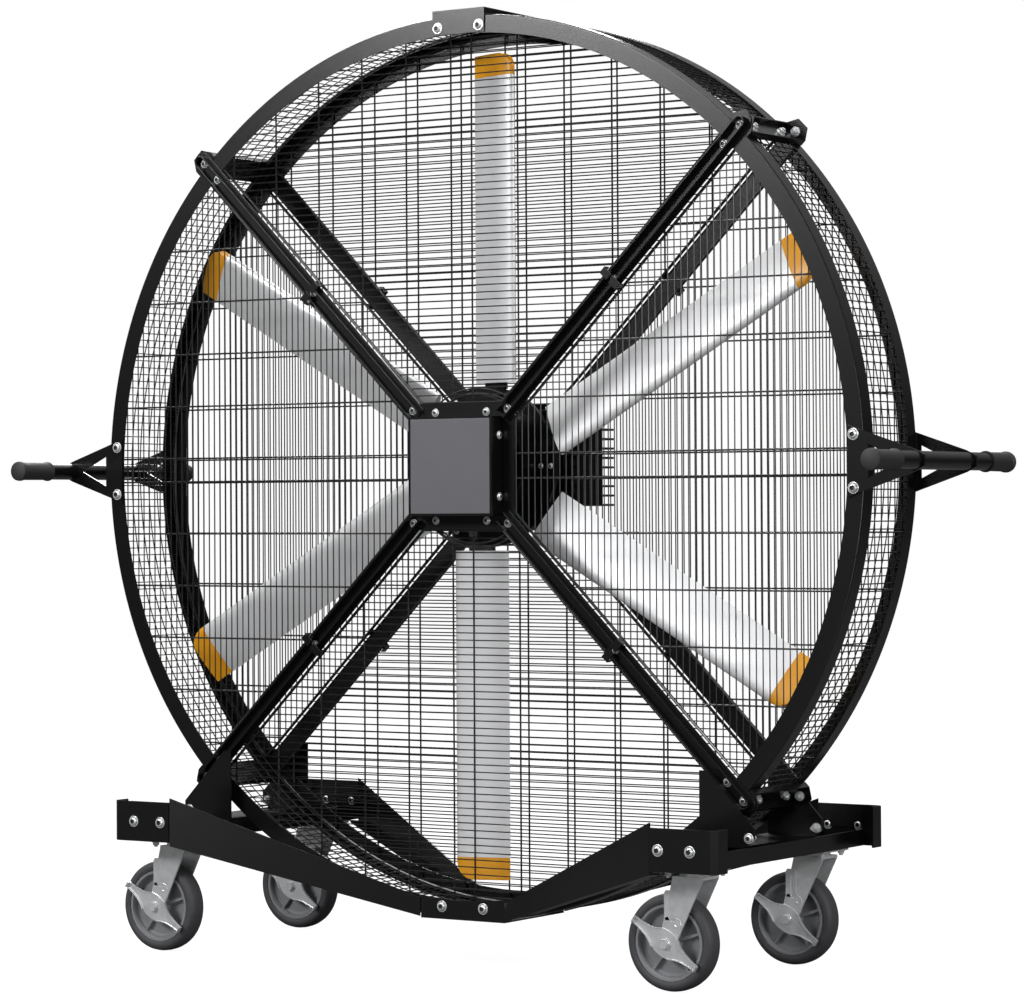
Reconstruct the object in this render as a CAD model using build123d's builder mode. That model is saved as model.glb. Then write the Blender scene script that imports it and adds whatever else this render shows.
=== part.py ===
"""Large wheeled drum fan: a guarded drum on a folded steel base with four swivel casters.

Frame: +Z up, the front of the fan faces -Y, the origin is on the floor under the middle of the drum.
All sizes are in millimetres.
"""

import os
from math import atan2, cos, degrees, floor, radians, sin, sqrt, tan

from build123d import *

os.makedirs("parts", exist_ok=True)

# ---- drum ----
drum_radius = 990.6  # outside of both rings
drum_depth = 236.0  # front face to rear face
drum_clearance = 99.4  # floor to the underside of the rings
ring_plate = 3.0
ring_web = 40.0  # width of a ring's face
ring_flange = 40.0  # depth of a ring's rim
ring_sides = 64  # flat sides on the inside of a ring's rim
ring_seam = 1.5  # gap between the rolled ring's two ends, at the bottom

# ---- fits between pieces ----
seat_gap = 0.3  # between neighbours that only lie beside each other
running_gap = 0.05  # radial clearance of a shaft in its bore

# ---- drum mesh: flat strips, each a lengthwise wire on the outside of two hoops ----
mesh_wire = 3.0
mesh_strip_count = 32
mesh_hoop_half = 60.0  # hoops in front of and behind the drum's middle

# ---- guard panels: four quadrants on each face ----
guard_wire = 3.0
guard_brace = 4.0  # thickness of the wires that run along a panel
guard_rim_thickness = 7.5
guard_rim_width = 6.0
guard_pitch = 68.0  # between the wires that run across a panel
guard_brace_first = 27.0  # first pair of braces, from the panel's centreline
guard_brace_pitch = 120.0
guard_edge_gap = 3.0  # panel's edge to the diagonal between panels
guard_inner = 125.0  # panel's inner edge, from the rotor axis
guard_rim_sides = 6  # straight sides of a panel's outer edge
guard_rim_gap = 3.0  # guard's outer edge to the inside of the drum mesh

# ---- spokes: eight channels on the diagonals ----
spoke_width = 50.0
spoke_depth = 28.0
spoke_wall = 4.0
spoke_inner_gap = 4.0  # spoke's end to the corner of the hub cover
spoke_overhang = 12.4  # past the rings, before the outer end narrows

# ---- hub frames and cover ----
hub_plate_half = 140.0
hub_plate = 3.0
hub_cover_half = 108.6
hub_cover_depth = 44.0  # cover's face in front of the ring's face
hub_cover_wall = 2.0
hub_tube_wall = 3.0
hub_cover_skirt_gap = 3.0  # cover's rim to the hub frame's plate

# ---- rotor and motor ----
shaft_radius = 15.0
rotor_disc_radius = 178.0
rotor_disc_thickness = 12.0
rotor_drum_radius = 128.0
rotor_front = 72.0  # front end of the rotor's shell, from the drum's middle
rotor_plane = 6.0  # middle of the blades, in front of the drum's middle
rotor_gap = 4.0  # rotor disc to the motor's fixed housing
motor_radius = 118.0
drive_neck_half = 80.0
drive_neck_length = 60.0
drive_half_width = 125.0
drive_half_height = 88.0
drive_length = 143.0
fin_count = 9
fin_depth = 30.0
fin_thickness = 5.0

# ---- blades ----
blade_count = 6
blade_root = 186.0
blade_chord = 126.0
blade_pitch = 13.0
blade_offset = 19.0  # chord's centre beside the radial line
blade_nose = 6.5  # radius of the rounded leading edge
blade_crown = 10.0
blade_belly = 12.0
tip_length = 50.0
tip_gap = 65.3  # blade tips to the inside of the drum mesh
tip_corner = 42.0  # width of the tip's swept corner
tip_clear = 3.0  # the sweep's start, in front of the leading edge
tongue_width = 60.0
tongue_thickness = 8.0
tongue_grip = 90.0  # length of the tongue inside the blade
tongue_start = 126.0

# ---- strap brackets over the rings' joints ----
top_strap_half = 68.0
bottom_strap_half = 110.0
strap_plate = 3.0
top_strap_rise = 14.0  # top strap above the rings

# ---- ties between the front and rear spoke ends ----
tie_half = 30.0
tie_plate = 3.0
tie_lip = 14.0

# ---- handles ----
handle_plate = 4.0
handle_overlap = 38.6  # plates' root, inside the outside of the rings
handle_root_half = 74.0
handle_apex_half = 23.0
handle_reach = 152.0  # tube's axis from the plates' root
handle_end_reach = 23.0  # plates' end from the tube's axis
handle_tube_radius = 19.0
handle_half_length = 317.0
handle_window_inset = 48.0  # window from the plate's root
handle_window_half = 35.0
handle_window_gap = 32.0  # window from the tube's axis
grip_radius = 22.5
grip_length = 108.0

# ---- base ----
base_half_width = 779.0
base_half_depth = 370.0
base_bottom = 256.0
base_plate = 4.0
corner_height = 89.0
corner_width = 158.0  # corner plate's inboard edge from the side of the base
corner_bend = 12.0
corner_return = 50.0  # corner plate's side, back from the front face
beam_inner = 111.0
beam_outer_low = 248.0
beam_outer_high = 355.0
beam_inner_width = 41.0
beam_flange = 26.0
beam_flange_start = 0.16  # share of the beam's length where its lips begin
channel_inset = 47.0  # side channel in from the side of the base
channel_height = 35.0

# ---- saddles that carry the drum's lower spokes ----
saddle_plate = 4.0
saddle_inset = 6.0  # gusset inboard of the corner plates
saddle_below_spoke = 27.0  # gusset's top below the middle of the spoke
saddle_top_width = 19.0
saddle_lobe = 20.0  # cut corner at the gusset's outboard foot
saddle_outer_gap = 14.0  # gusset beyond the side channel

# ---- casters ----
caster_inset_x = 48.0  # swivel axis from the corner plate's inboard edge
caster_inset_y = 110.0  # swivel axis from the base's front and rear faces
caster_trail = 52.0  # wheel behind the swivel axis
wheel_radius = 101.6
tyre_width = 48.0
tyre_gap = 0.03  # between tyre and rim
rim_radius = 80.0
rim_band = 8.0
rim_width = 44.0
rim_web = 10.0
rim_sides = 16  # flat sides under the tyre, which keep it from slipping round
wheel_hub_radius = 19.0
wheel_hub_length = 58.0
axle_radius = 6.5
leg_inner = 30.0
leg_plate = 4.0
leg_foot = 19.0  # half of a leg's width at the axle
fork_length = 72.0
fork_crown = 6.0
race_radius = 34.0
race_height = 9.0
race_sides = 8
pin_nut = 24.0
king_pin_radius = 8.0
top_plate = 6.0
top_plate_length = 114.0
top_plate_width = 102.0
nut_across = 18.0
nut_height = 7.0
brake_plate = 3.0
brake_gap = 1.0
brake_half_length = 88.0
brake_half_width = 27.0
brake_tip_half = 7.0
brake_tilt = -33.0

# places that follow from the sizes above
hub_height = drum_radius + drum_clearance
half_depth = drum_depth / 2
web_back = half_depth - ring_plate
ring_inside = drum_radius - ring_plate
mesh_wire_radius = ring_inside - seat_gap - mesh_wire
mesh_inside = mesh_wire_radius - mesh_wire
guard_radius = mesh_inside - guard_rim_gap
blade_length = mesh_inside - tip_gap - tip_length - blade_root
spoke_lug_radius = drum_radius + spoke_overhang
frontwards = (0, -1, 0)
handle_root = drum_radius - handle_overlap
handle_tube_x = handle_root + handle_reach
handle_end = handle_tube_x + handle_end_reach
handle_window_x = handle_root + handle_window_inset
handle_window_apex = handle_tube_x - handle_window_gap
beam_inner_high = drum_clearance + beam_inner_width
corner_inner = base_half_width - corner_width
channel_outer = base_half_width - channel_inset
beam_tail = channel_outer - corner_inner
saddle_floor = base_bottom + channel_height
saddle_inner = corner_inner - saddle_inset
saddle_top = hub_height - saddle_inner - saddle_below_spoke
saddle_outer = channel_outer + saddle_outer_gap
caster_x = corner_inner + caster_inset_x
caster_y = base_half_depth - caster_inset_y
hub_face = Plane(origin=(0, 0, hub_height), x_dir=(1, 0, 0), z_dir=frontwards)


def save(piece, name):
    """Label a finished piece and write it under its own name."""
    piece.label = name
    export_step(piece, f"parts/{name}.step")


def turned_face(turn, origin=(0, 0, hub_height)):
    """A plane that faces the front, turned anticlockwise as seen from the front."""
    return Plane(origin=origin, x_dir=(cos(radians(turn)), 0, sin(radians(turn))), z_dir=frontwards)


def mirrored(piece, plane):
    """A copy of a finished piece on the other side of a plane."""
    return mirror(piece, about=plane)


# ---- rings: rolled angle, face outwards, rim pointing into the drum ----
with BuildPart() as front_ring:
    with BuildSketch(hub_face.offset(half_depth)):
        Circle(drum_radius)
        Circle(drum_radius - ring_web, mode=Mode.SUBTRACT)
    extrude(amount=-ring_plate)
    with BuildSketch(hub_face.offset(half_depth)):
        Circle(drum_radius)
        RegularPolygon(ring_inside, ring_sides, major_radius=False, mode=Mode.SUBTRACT)
    extrude(amount=-ring_flange)
    with BuildSketch(hub_face.offset(half_depth)):
        with Locations((0, -drum_radius)):
            Rectangle(ring_seam, 3 * ring_web)
    extrude(amount=-ring_flange, mode=Mode.SUBTRACT)
save(front_ring.part, "front_ring")
save(mirrored(front_ring.part, Plane.XZ), "rear_ring")

# ---- drum mesh: flat strips side by side, the lengthwise wires ending at the rings' faces ----
strip_half_turn = 180 / mesh_strip_count
strip_width = 2 * mesh_inside * tan(radians(strip_half_turn)) - seat_gap
mesh_strips = []
for strip in range(mesh_strip_count):
    strip_face = turned_face((2 * strip + 1) * strip_half_turn)
    with BuildPart() as mesh_strip:
        for hoop in (-mesh_hoop_half, mesh_hoop_half):
            with BuildSketch(strip_face.offset(hoop - mesh_wire / 2)):
                with Locations((mesh_inside + mesh_wire / 2, 0)):
                    Rectangle(mesh_wire, strip_width)
            extrude(amount=mesh_wire)
        with BuildSketch(strip_face.offset(-web_back)):
            with Locations((mesh_wire_radius + mesh_wire / 2, 0)):
                Rectangle(mesh_wire, mesh_wire)
        extrude(amount=2 * web_back)
    mesh_strips.append(mesh_strip.part)
save(Compound(mesh_strips), "drum_mesh")

# ---- guard panels: welded wire quadrants behind the ring's face ----
edge_shift = guard_edge_gap * sqrt(2)
corner_high = (edge_shift + sqrt(2 * guard_radius**2 - edge_shift**2)) / 2
corner_turn = degrees(atan2(corner_high - edge_shift, corner_high))


def rim_point(step):
    """A corner of a panel's outer edge, counted clockwise from its left end."""
    turn = radians(corner_turn * (2 * step / guard_rim_sides - 1))
    return (guard_radius * sin(turn), guard_radius * cos(turn))


inner_half = guard_inner - edge_shift
rim_points = [rim_point(step) for step in range(guard_rim_sides + 1)]
with BuildSketch() as panel_outline:
    with BuildLine():
        Polyline((-inner_half, guard_inner), *rim_points, (inner_half, guard_inner), close=True)
    make_face()


def guard_panel(turn):
    """A quadrant panel of the front guard, turned about the rotor axis."""
    face = turned_face(turn).offset(web_back)
    with BuildPart() as panel:
        with BuildSketch(face):
            add(panel_outline.sketch)
            offset(amount=-guard_rim_width, kind=Kind.INTERSECTION, mode=Mode.SUBTRACT)
        extrude(amount=-guard_rim_thickness)
        with BuildSketch(face):
            wire_count = floor((guard_radius - guard_inner) / guard_pitch)
            with Locations((0, guard_inner + guard_pitch * (wire_count + 1) / 2)):
                with GridLocations(0, guard_pitch, 1, wire_count):
                    Rectangle(2 * guard_radius, guard_wire)
            add(panel_outline.sketch, mode=Mode.INTERSECT)
        extrude(amount=-guard_wire)
        with BuildSketch(face.offset(-guard_rim_thickness)):
            brace_count = floor((corner_high - guard_brace_first) / guard_brace_pitch) + 1
            for step in range(brace_count):
                side = guard_brace_first + step * guard_brace_pitch
                with Locations((-side, guard_radius / 2), (side, guard_radius / 2)):
                    Rectangle(guard_brace, 2 * guard_radius)
            add(panel_outline.sketch, mode=Mode.INTERSECT)
        extrude(amount=guard_brace)
    return panel.part


for name, turn in {"top": 0, "left": 90, "bottom": 180, "right": 270}.items():
    panel = guard_panel(turn)
    save(panel, f"front_guard_{name}")
    save(mirrored(panel, Plane.XZ), f"rear_guard_{name}")

# ---- spokes: channels that open outwards, with a rounded lug past the ring ----
spoke_start = hub_cover_half * sqrt(2) + spoke_inner_gap
spoke_length = spoke_lug_radius - spoke_start
spoke_tip = spoke_lug_radius + spoke_width / 2


def spoke(turn):
    """A front spoke on a diagonal, its back on the ring's face."""
    face = turned_face(turn).offset(half_depth)
    with BuildPart() as channel:
        with BuildSketch(face):
            with Locations((spoke_start + spoke_length / 2, 0)):
                Rectangle(spoke_length, spoke_width)
            with BuildLine():
                Polyline(
                    (spoke_lug_radius, -spoke_width / 2),
                    (spoke_tip, -spoke_width / 4),
                    (spoke_tip, spoke_width / 4),
                    (spoke_lug_radius, spoke_width / 2),
                    close=True,
                )
            make_face()
        extrude(amount=spoke_wall)
        with BuildSketch(face):
            for side in (-1, 1):
                with Locations(
                    (spoke_start + spoke_length / 2, side * (spoke_width - spoke_wall) / 2)
                ):
                    Rectangle(spoke_length, spoke_wall)
        extrude(amount=spoke_depth)
    return channel.part


front_spokes = Compound([spoke(45 + 90 * quarter) for quarter in range(4)])
save(front_spokes, "front_spokes")
save(mirrored(front_spokes, Plane.XZ), "rear_spokes")

# ---- hub frames: a square plate that closes the guard's middle and holds the shaft ----
tube_half = hub_cover_half - hub_cover_wall - seat_gap
with BuildPart() as front_hub_frame:
    with BuildSketch(hub_face.offset(half_depth)):
        Rectangle(2 * hub_plate_half, 2 * hub_plate_half)
    extrude(amount=-hub_plate)
    with BuildSketch(hub_face.offset(half_depth)):
        Rectangle(2 * tube_half, 2 * tube_half)
        offset(amount=-hub_tube_wall, kind=Kind.INTERSECTION, mode=Mode.SUBTRACT)
    extrude(amount=hub_cover_depth - hub_cover_wall - seat_gap)
    with BuildSketch(hub_face):
        Circle(shaft_radius + running_gap)
    extrude(amount=drum_depth, mode=Mode.SUBTRACT)
save(front_hub_frame.part, "front_hub_frame")

with BuildPart() as front_cover:
    with BuildSketch(hub_face.offset(half_depth + hub_cover_depth)):
        Rectangle(2 * hub_cover_half, 2 * hub_cover_half)
    extrude(amount=-(hub_cover_depth - hub_cover_skirt_gap))
    with BuildSketch(hub_face.offset(half_depth + hub_cover_depth - hub_cover_wall)):
        Rectangle(2 * (hub_cover_half - hub_cover_wall), 2 * (hub_cover_half - hub_cover_wall))
    extrude(amount=-hub_cover_depth, mode=Mode.SUBTRACT)
save(front_cover.part, "front_cover")

with BuildPart() as rear_hub_frame:
    with BuildSketch(hub_face.offset(-half_depth)):
        Rectangle(2 * hub_plate_half, 2 * hub_plate_half)
    extrude(amount=hub_plate)
save(rear_hub_frame.part, "rear_hub_frame")

# ---- motor: fixed shaft and housing, with the finned drive housing behind the drum ----
motor_front = rotor_plane - rotor_disc_thickness / 2 - rotor_gap
with BuildPart() as motor_housing:
    with BuildSketch(hub_face.offset(-web_back)):
        Circle(motor_radius)
    extrude(amount=web_back + motor_front)
    with BuildSketch(hub_face):
        Circle(shaft_radius)
    extrude(amount=half_depth + hub_plate)
save(motor_housing.part, "motor_housing")

fin_pitch = (2 * drive_half_height - fin_thickness) / (fin_count - 1)
with BuildPart() as drive_housing:
    with BuildSketch(hub_face.offset(-half_depth)):
        Rectangle(2 * drive_neck_half, 2 * drive_neck_half)
    extrude(amount=-drive_neck_length)
    with BuildSketch(hub_face.offset(-half_depth - drive_neck_length)):
        Rectangle(2 * (drive_half_width - fin_depth), 2 * drive_half_height)
        with GridLocations(0, fin_pitch, 1, fin_count):
            Rectangle(2 * drive_half_width, fin_thickness)
    extrude(amount=-drive_length)
save(drive_housing.part, "drive_housing")

# ---- rotor hub: disc and shell on the shaft, with a pitched tongue for each blade ----
def blade_seat(blade, radius):
    """Plane across a blade at a radius: x towards the leading edge, z outwards."""
    spun = turned_face(blade * 360 / blade_count).offset(rotor_plane)
    across = spun.x_dir * cos(radians(blade_pitch)) + spun.z_dir * sin(radians(blade_pitch))
    start = spun.from_local_coords((blade_offset, radius, 0))
    return Plane(origin=start, x_dir=across, z_dir=spun.y_dir)


with BuildPart() as rotor_hub:
    with BuildSketch(hub_face.offset(rotor_plane - rotor_disc_thickness / 2)):
        Circle(rotor_disc_radius)
    extrude(amount=rotor_disc_thickness)
    with BuildSketch(hub_face.offset(rotor_plane)):
        Circle(rotor_drum_radius)
    extrude(amount=rotor_front - rotor_plane)
    for blade in range(blade_count):
        with BuildSketch(blade_seat(blade, tongue_start)):
            Rectangle(tongue_width, tongue_thickness)
        extrude(amount=blade_root + tongue_grip - tongue_start)
    with BuildSketch(hub_face):
        Circle(shaft_radius + running_gap)
    extrude(amount=rotor_front, both=True, mode=Mode.SUBTRACT)
save(rotor_hub.part, "rotor_hub")


# ---- blades: hollow-rooted aluminium sections with moulded tip caps ----
def airfoil(chord):
    """The blade's section: round nose towards +x, thin tail, fuller on one side."""
    nose_top = (chord / 2 - blade_nose, blade_nose)
    nose_low = (chord / 2 - blade_nose, -blade_nose)
    tail = (-chord / 2, 0)
    with BuildSketch() as section:
        with BuildLine():
            ThreePointArc(nose_low, (chord / 2, 0), nose_top)
            ThreePointArc(nose_top, (0, blade_crown), tail)
            ThreePointArc(tail, (0, -blade_belly), nose_low)
        make_face()
    return section.sketch


for blade in range(blade_count):
    with BuildPart() as blade_part:
        with BuildSketch(blade_seat(blade, blade_root)):
            add(airfoil(blade_chord))
        extrude(amount=blade_length)
        with BuildSketch(blade_seat(blade, blade_root)):
            Rectangle(tongue_width + 2 * seat_gap, tongue_thickness + 2 * seat_gap)
        extrude(amount=tongue_grip + seat_gap, mode=Mode.SUBTRACT)
    save(blade_part.part, f"blade_{blade + 1}")

with BuildPart() as blade_tips:
    for blade in range(blade_count):
        seat = blade_seat(blade, blade_root + blade_length)
        with BuildSketch(seat):
            add(airfoil(blade_chord))
        extrude(amount=tip_length)
        edge_x = blade_chord / 2
        swept = Plane(origin=seat.origin, x_dir=seat.x_dir, z_dir=-seat.y_dir)
        with BuildSketch(swept):
            with BuildLine():
                Polyline(
                    (edge_x - tip_corner, tip_length),
                    (edge_x - tip_corner * (1 - cos(radians(45))), tip_length * sin(radians(45))),
                    (edge_x + tip_clear, 0),
                    (edge_x + tip_length, tip_length),
                    (edge_x - tip_corner, tip_length),
                )
            make_face()
        extrude(amount=tip_length, both=True, mode=Mode.SUBTRACT)
save(blade_tips.part, "blade_tips")

# ---- strap brackets: folded straps from ring to ring at the top and the bottom ----
strap_low = drum_radius - ring_web
strap_reach = half_depth + strap_plate


def strap(side, half_width, rise):
    """A strap over both rings; side is 1 above the drum and -1 below it."""
    crown = drum_radius + rise
    with BuildPart() as bracket:
        with BuildSketch(hub_face.offset(-strap_reach)):
            with Locations((0, side * (crown - strap_plate / 2))):
                Rectangle(2 * half_width, strap_plate)
        extrude(amount=2 * strap_reach)
        for start in (half_depth, -strap_reach):
            with BuildSketch(hub_face.offset(start)):
                with Locations((0, side * (crown + strap_low) / 2)):
                    Rectangle(2 * half_width, crown - strap_low)
            extrude(amount=strap_plate)
    return bracket.part


save(strap(1, top_strap_half, top_strap_rise), "top_strap")
save(strap(-1, bottom_strap_half, strap_plate + seat_gap), "bottom_strap")

# ---- corner ties: folded straps from the front to the rear spoke ends ----
tie_inside = drum_radius + seat_gap


def corner_tie(turn):
    """A tie across the drum's rim on a diagonal."""
    face = turned_face(turn)
    with BuildPart() as tie:
        with BuildSketch(face):
            with Locations((tie_inside + tie_plate / 2, 0)):
                Rectangle(tie_plate, 2 * tie_half)
            for side in (-1, 1):
                with Locations((tie_inside + tie_lip / 2, side * (tie_half - tie_plate / 2))):
                    Rectangle(tie_lip, tie_plate)
        extrude(amount=half_depth, both=True)
        for front in (half_depth - tie_plate, -half_depth):
            with BuildSketch(face.offset(front)):
                with Locations((tie_inside + tie_lip / 2, 0)):
                    Rectangle(tie_lip, 2 * tie_half)
                with BuildLine():
                    Polyline(
                        (tie_inside + tie_lip, -tie_half),
                        (spoke_tip, -tie_half / 2),
                        (spoke_tip, tie_half / 2),
                        (tie_inside + tie_lip, tie_half),
                        close=True,
                    )
                make_face()
            extrude(amount=tie_plate)
    return tie.part


corner_ties = Compound([corner_tie(45 + 90 * quarter) for quarter in range(4)])
save(corner_ties, "corner_ties")


# ---- handles: a plate on each face of the drum and a tube between them ----
def handle_plates(side):
    """Front and rear handle plates on one side of the drum."""
    outline = [
        (side * handle_root, handle_root_half),
        (side * handle_tube_x, handle_apex_half),
        (side * handle_end, handle_apex_half / 2),
        (side * handle_end, -handle_apex_half / 2),
        (side * handle_tube_x, -handle_apex_half),
        (side * handle_root, -handle_root_half),
    ]
    window = [
        (side * handle_window_x, handle_window_half),
        (side * handle_window_apex, 0),
        (side * handle_window_x, -handle_window_half),
    ]
    with BuildPart() as plates:
        for start in (half_depth, -half_depth - handle_plate):
            with BuildSketch(hub_face.offset(start)):
                with BuildLine():
                    Polyline(*outline, close=True)
                make_face()
                with BuildLine():
                    Polyline(*window, close=True)
                make_face(mode=Mode.SUBTRACT)
                with Locations((side * handle_tube_x, 0)):
                    Circle(handle_tube_radius + running_gap, mode=Mode.SUBTRACT)
            extrude(amount=handle_plate)
    return plates.part


plates = []
tubes = []
grips = []
for side in (-1, 1):
    plates.append(handle_plates(side))
    with BuildPart() as handle_tube:
        with BuildSketch(hub_face):
            with Locations((side * handle_tube_x, 0)):
                Circle(handle_tube_radius)
        extrude(amount=handle_half_length - grip_length, both=True)
    tubes.append(handle_tube.part)
    with BuildPart() as grip:
        with BuildSketch(hub_face.offset(handle_half_length - grip_length)):
            with Locations((side * handle_tube_x, 0)):
                Circle(grip_radius)
        extrude(amount=grip_length)
    grips += [grip.part, mirrored(grip.part, Plane.XZ)]
save(Compound(plates), "handle_plates")
save(Compound(tubes), "handle_tubes")
save(Compound(grips), "handle_grips")

# ---- base corners: plates bent round the corners of the base ----
side_inner = base_half_width - base_plate
front_inner = base_half_depth - base_plate
with BuildPart() as front_corner:
    with BuildSketch(Plane.XY.offset(base_bottom)):
        with BuildLine():
            Polyline(
                (corner_inner, -base_half_depth),
                (base_half_width - corner_bend, -base_half_depth),
                (base_half_width, corner_bend - base_half_depth),
                (base_half_width, corner_return - base_half_depth),
            )
            Polyline(
                (base_half_width, corner_return - base_half_depth),
                (side_inner, corner_return - base_half_depth),
                (side_inner, corner_bend - base_half_depth + base_plate * (sqrt(2) - 1)),
                (
                    base_half_width - corner_bend - base_plate * (sqrt(2) - 1),
                    -front_inner,
                ),
                (corner_inner, -front_inner),
                (corner_inner, -base_half_depth),
            )
        make_face()
    extrude(amount=corner_height)
corner_list = [front_corner.part, mirrored(front_corner.part, Plane.YZ)]
corner_list += [mirrored(corner, Plane.XZ) for corner in corner_list]
save(Compound(corner_list), "base_corners")

# ---- base beams: folded channels from the corners down to the bottom of each ring ----
beam_start = Vector(beam_inner, -half_depth - base_plate - 2 * seat_gap, 0)
beam_end = Vector(corner_inner, -front_inner, 0)
beam_run = beam_end - beam_start
beam_face = Plane(
    origin=beam_start, x_dir=beam_run.normalized(), z_dir=beam_run.cross(Vector(0, 0, 1)).normalized()
)
beam_span = beam_run.length
lip_start = beam_flange_start * beam_span
rise_low = (beam_outer_low - drum_clearance) / beam_span
rise_high = (beam_outer_high - beam_inner_high) / beam_span
lip_profile = [
    (lip_start, drum_clearance + rise_low * lip_start),
    (beam_span, beam_outer_low),
    (beam_span, beam_outer_low + base_plate),
    (lip_start, drum_clearance + rise_low * lip_start + base_plate),
]
with BuildPart() as front_beam:
    with BuildSketch(beam_face):
        with BuildLine():
            Polyline(
                (0, drum_clearance),
                (beam_span, beam_outer_low),
                (beam_span, beam_outer_high),
                (0, beam_inner_high),
                close=True,
            )
        make_face()
    extrude(amount=-base_plate)
    with BuildSketch(beam_face):
        with BuildLine():
            Polyline(*lip_profile, close=True)
        make_face()
    extrude(amount=-beam_flange)
    with BuildSketch(Plane.XY.offset(base_bottom + channel_height + base_plate)):
        with Locations((corner_inner + beam_tail / 2, base_plate / 2 - front_inner)):
            Rectangle(beam_tail, base_plate)
    extrude(amount=corner_height - channel_height - base_plate)
right_beams = [front_beam.part, mirrored(front_beam.part, Plane.XZ)]
beams = right_beams + [mirrored(beam, Plane.YZ) for beam in right_beams]
save(Compound(beams), "base_beams")

# ---- side channels: between the corners, open side up, over the casters ----
channel_end = front_inner - base_plate - 2 * seat_gap
channel_width = channel_outer - corner_inner
with BuildPart() as side_channel:
    with BuildSketch(Plane.XZ.offset(-channel_end)):
        with Locations(((corner_inner + channel_outer) / 2, base_bottom + channel_height / 2)):
            Rectangle(channel_width, channel_height)
        with Locations(
            ((corner_inner + channel_outer) / 2, base_bottom + (channel_height + base_plate) / 2)
        ):
            Rectangle(channel_width - 2 * base_plate, channel_height - base_plate, mode=Mode.SUBTRACT)
    extrude(amount=2 * channel_end)
side_channels = [side_channel.part, mirrored(side_channel.part, Plane.YZ)]
save(Compound(side_channels), "side_channels")

# ---- saddles: cradles that stand on the side channels and hold the lower spokes ----
saddle_reach = half_depth + spoke_depth + saddle_plate
with BuildPart() as saddle:
    with BuildSketch(Plane.XZ.offset(-saddle_reach)):
        with BuildLine():
            Polyline(
                (saddle_inner, saddle_floor),
                (saddle_inner, saddle_top),
                (saddle_inner + saddle_top_width, saddle_top),
                (saddle_outer, saddle_floor + 2 * saddle_lobe),
                (saddle_outer, saddle_floor + saddle_lobe),
                (saddle_outer - saddle_lobe, saddle_floor),
                close=True,
            )
        make_face()
    extrude(amount=2 * saddle_reach)
    with BuildSketch(Plane.XZ.offset(-saddle_reach + saddle_plate)):
        with Locations((saddle_outer, saddle_floor + saddle_plate + drum_radius)):
            Rectangle(3 * drum_radius, 2 * drum_radius)
    extrude(amount=2 * (saddle_reach - saddle_plate), mode=Mode.SUBTRACT)
save(Compound([saddle.part, mirrored(saddle.part, Plane.YZ)]), "saddles")

# ---- casters: plate and king pin, fork, axle, rim, tyre and brake lever ----
crown_low = base_bottom - top_plate - race_height - seat_gap - fork_crown
leg_outer = leg_inner + leg_plate
axle_half = leg_outer + brake_gap + brake_plate + brake_gap


def caster_plate(x, y):
    """Top plate of a caster, with the race and the king pin that the fork turns on."""
    with BuildPart() as plate:
        with BuildSketch(Plane.XY.offset(base_bottom)):
            with Locations((x, y)):
                Rectangle(top_plate_width, top_plate_length)
        extrude(amount=-top_plate)
        with BuildSketch(Plane.XY.offset(base_bottom - top_plate)):
            with Locations((x, y)):
                RegularPolygon(race_radius, race_sides)
        extrude(amount=-race_height)
        with BuildSketch(Plane.XY.offset(crown_low - seat_gap)):
            with Locations((x, y)):
                Circle(king_pin_radius)
        extrude(amount=fork_crown + 2 * seat_gap)
        with BuildSketch(Plane.XY.offset(crown_low - seat_gap)):
            with Locations((x, y)):
                RegularPolygon(pin_nut / 2, 6, major_radius=False)
        extrude(amount=-nut_height)
    return plate.part


def caster_fork(x, y):
    """Fork with its crown, two tapered legs and the axle bolt between them."""
    wheel_x = x - caster_trail
    reach = fork_length / 2
    with BuildPart() as fork:
        with BuildSketch(Plane.XY.offset(crown_low)):
            with Locations((x, y)):
                Rectangle(fork_length, 2 * leg_outer)
                Circle(king_pin_radius + running_gap, mode=Mode.SUBTRACT)
        extrude(amount=fork_crown)
        for side in (-1, 1):
            with BuildSketch(Plane.XZ.offset(-y - side * leg_inner)):
                with BuildLine():
                    Polyline(
                        (x - reach, crown_low),
                        (x + reach, crown_low),
                        (wheel_x + leg_foot, wheel_radius - leg_foot / 2),
                        (wheel_x + leg_foot / 2, wheel_radius - leg_foot),
                        (wheel_x - leg_foot / 2, wheel_radius - leg_foot),
                        (wheel_x - leg_foot, wheel_radius - leg_foot / 2),
                        close=True,
                    )
                make_face()
            extrude(amount=-side * leg_plate)
        with BuildSketch(Plane.XZ.offset(-y - leg_outer)):
            with Locations((wheel_x, wheel_radius)):
                Circle(axle_radius)
        extrude(amount=leg_outer + axle_half)
        with BuildSketch(Plane.XZ.offset(-y + axle_half)):
            with Locations((wheel_x, wheel_radius)):
                RegularPolygon(nut_across / 2, 6, major_radius=False)
        extrude(amount=nut_height)
    return fork.part


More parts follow.
